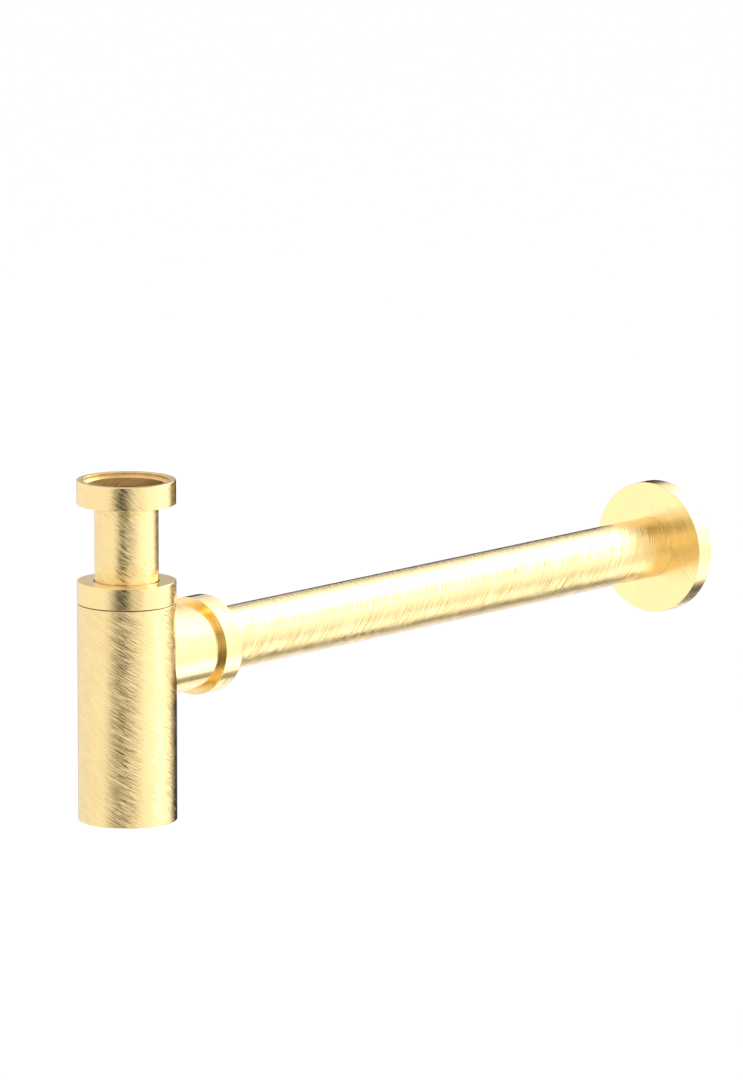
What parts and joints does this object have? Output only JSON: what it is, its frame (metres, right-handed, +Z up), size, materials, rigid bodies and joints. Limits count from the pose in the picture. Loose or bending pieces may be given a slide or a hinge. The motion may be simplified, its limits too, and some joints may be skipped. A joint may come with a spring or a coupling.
{
  "type": "bottle trap",
  "caption": "Round brushed brass bottle trap with a swivel inlet nut, an adjustable dip tube, a wall pipe and a wall rosette; it keeps a water seal under a wash basin.",
  "frame": {"origin": "centre of the inlet washer's upper face, where the tail of the basin waste sits", "axes": "+Z up along the bottle, out of the inlet; +X along the wall pipe towards the wall"},
  "size_m": [0.4601, 0.0694, 0.1718],
  "materials": {
    "brushed_gold": "brushed, gold coloured",
    "seal_rubber": "matt",
    "slip_nylon": "matt"
  },
  "bodies": {
    "inlet_nut": {"inlet_nut": "brushed_gold"},
    "inlet_tube": {"inlet_tube": "brushed_gold", "inlet_washer": "seal_rubber"},
    "bottle": {"bottle_shell": "brushed_gold", "bottle_base": "brushed_gold", "neck_ring": "brushed_gold", "outlet_stub": "brushed_gold", "tube_cone_seal": "seal_rubber", "pipe_cone_seal": "seal_rubber"},
    "cap_ring": {"tube_slip_ring": "slip_nylon"},
    "cap": {"top_cap": "brushed_gold"},
    "outlet_ring": {"pipe_slip_ring": "slip_nylon"},
    "outlet_nut": {"outlet_nut": "brushed_gold"},
    "wall_pipe": {"wall_pipe": "brushed_gold"},
    "rosette": {"wall_rosette": "brushed_gold", "rosette_grip_ring": "seal_rubber"}
  },
  "joints": [
    {"name": "inlet_swivel", "type": "hinge", "parent": "inlet_nut", "child": "inlet_tube", "pos_m": [0, 0, 0], "axis": [0, 0, 1], "continuous": true},
    {"name": "height_adjust", "type": "slide", "parent": "inlet_tube", "child": "bottle", "axis": [0, 0, 1], "range_m": [-0.02, 0.01]},
    {"name": "cap_turn", "type": "hinge", "parent": "cap_ring", "child": "cap", "pos_m": [0, 0, -0.0438], "axis": [0, 0, 1], "range_deg": [0, 1080]},
    {"name": "cap_lift", "type": "slide", "parent": "bottle", "child": "cap_ring", "axis": [0, 0, 1], "range_m": [0, 0.00451]},
    {"name": "outlet_nut_turn", "type": "hinge", "parent": "outlet_ring", "child": "outlet_nut", "pos_m": [0.0588, 0, -0.084], "axis": [1, 0, 0], "range_deg": [0, 1080]},
    {"name": "outlet_nut_back_off", "type": "slide", "parent": "bottle", "child": "outlet_ring", "axis": [1, 0, 0], "range_m": [0, 0.00451]},
    {"name": "pipe_slide", "type": "slide", "parent": "bottle", "child": "wall_pipe", "axis": [1, 0, 0], "range_m": [-0.01, 0.01]},
    {"name": "rosette_slide", "type": "slide", "parent": "wall_pipe", "child": "rosette", "axis": [1, 0, 0], "range_m": [-0.3, 0.01]}
  ],
  "couplings": [
    {"joint": "cap_lift", "follows": "cap_turn", "m_per_rad": 0.00023873},
    {"joint": "outlet_nut_back_off", "follows": "outlet_nut_turn", "m_per_rad": 0.00023873}
  ]
}
